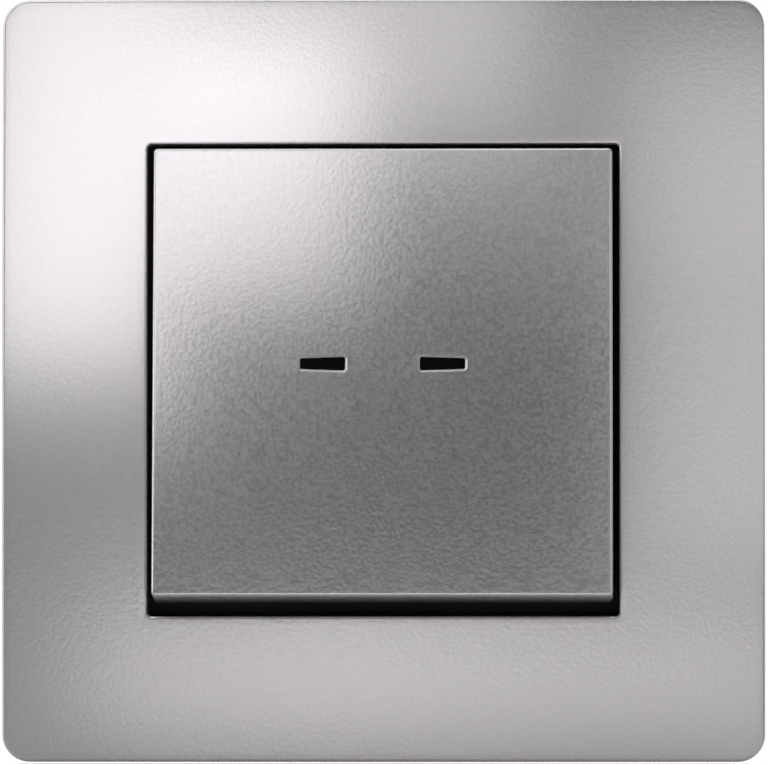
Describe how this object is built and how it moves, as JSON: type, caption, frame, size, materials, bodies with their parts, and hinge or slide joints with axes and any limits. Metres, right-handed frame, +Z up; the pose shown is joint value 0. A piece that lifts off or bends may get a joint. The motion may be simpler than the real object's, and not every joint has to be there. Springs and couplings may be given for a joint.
{
  "type": "push button light switch",
  "caption": "Flush wall light switch: a square silver cover frame round a square tilting spring-return key with lamp windows, with contact base, bridge and claws behind.",
  "frame": {"origin": "centre of the square plate on the wall plane, midway between the two wall-box screws", "axes": "+X right and +Z up as seen from the front; +Y points into the wall and the key faces -Y"},
  "size_m": [0.081, 0.0385, 0.081],
  "materials": {
    "silver_lacquer": "satin silver lacquer with a fine metallic grain",
    "black_plastic": "matt black moulding",
    "smoked_lens": "dark smoked lens",
    "galvanised_steel": "galvanised sheet",
    "base_plastic": "light grey moulding",
    "cover_plastic": "dark grey moulding",
    "zinc_screw": "zinc-plated screw",
    "claw_steel": "zinc-plated spring sheet",
    "contact_brass": "bright brass strip",
    "silver_alloy": "silver contact alloy",
    "spring_steel": "spring steel",
    "plunger_plastic": "natural white moulding",
    "release_plastic": "orange moulding",
    "board_laminate": "green laminate",
    "lamp_case": "pale lamp case",
    "chip_ceramic": "black chip",
    "tinned_lead": "tinned lead"
  },
  "bodies": {
    "switch_body": {"cover_frame": "silver_lacquer", "clip_frame": "black_plastic", "support_bridge": "galvanised_steel", "base_housing": "base_plastic", "housing_cover": "cover_plastic", "housing_screws": "zinc_screw", "terminal_left": "contact_brass", "terminal_right": "contact_brass", "clamp_spring_left": "spring_steel", "clamp_spring_right": "spring_steel", "fixed_points": "silver_alloy", "lamp_board": "board_laminate", "lamp_left": "lamp_case", "lamp_right": "lamp_case", "lamp_resistors": "chip_ceramic", "lamp_leads": "tinned_lead", "return_spring": "spring_steel"},
    "key": {"rocker_key": "silver_lacquer", "rocker_carrier": "black_plastic", "window_lens_left": "smoked_lens", "window_lens_right": "smoked_lens"},
    "plunger_set": {"plunger": "plunger_plastic", "contact_strip": "contact_brass", "moving_points": "silver_alloy", "contact_spring": "spring_steel"},
    "claw_left_arm": {"claw_left": "claw_steel"},
    "claw_right_arm": {"claw_right": "claw_steel"},
    "claw_left_screw": {"claw_screw_left": "zinc_screw"},
    "claw_right_screw": {"claw_screw_right": "zinc_screw"},
    "release_left_button": {"release_left": "release_plastic"},
    "release_right_button": {"release_right": "release_plastic"}
  },
  "joints": [
    {"name": "rocker_press", "type": "hinge", "parent": "switch_body", "child": "key", "pos_m": [0, -0.0039, 0], "axis": [1, 0, 0], "range_deg": [0, 10], "stiffness_Nm_per_rad": 0.23, "springref_deg": -7.45},
    {"name": "plunger_travel", "type": "slide", "parent": "switch_body", "child": "plunger_set", "axis": [0, 1, 0], "range_m": [0, 0.0021], "deforming": ["return_spring"]},
    {"name": "claw_left_screw_turn", "type": "hinge", "parent": "switch_body", "child": "claw_left_screw", "pos_m": [-0.0207, 0, -0.009], "axis": [0, 1, 0], "range_deg": [0, 515]},
    {"name": "claw_left_swing", "type": "hinge", "parent": "switch_body", "child": "claw_left_arm", "pos_m": [-0.0185, 0.0018, -0.009], "axis": [0, 0, 1], "range_deg": [0, 18.1]},
    {"name": "release_left_push", "type": "slide", "parent": "switch_body", "child": "release_left_button", "axis": [0, -1, 0], "range_m": [0, 0.0008], "stiffness_N_per_m": 300, "springref_m": -0.0005},
    {"name": "claw_right_screw_turn", "type": "hinge", "parent": "switch_body", "child": "claw_right_screw", "pos_m": [0.0207, 0, -0.009], "axis": [0, 1, 0], "range_deg": [0, 515]},
    {"name": "claw_right_swing", "type": "hinge", "parent": "switch_body", "child": "claw_right_arm", "pos_m": [0.0185, 0.0018, -0.009], "axis": [0, 0, -1], "range_deg": [0, 18.1]},
    {"name": "release_right_push", "type": "slide", "parent": "switch_body", "child": "release_right_button", "axis": [0, -1, 0], "range_m": [0, 0.0008], "stiffness_N_per_m": 300, "springref_m": -0.0005}
  ],
  "couplings": [
    {"joint": "plunger_travel", "follows": "rocker_press", "m_per_rad": 0.011984},
    {"joint": "claw_left_swing", "follows": "claw_left_screw_turn", "ratio": 0.034952},
    {"joint": "claw_right_swing", "follows": "claw_right_screw_turn", "ratio": 0.034952}
  ]
}
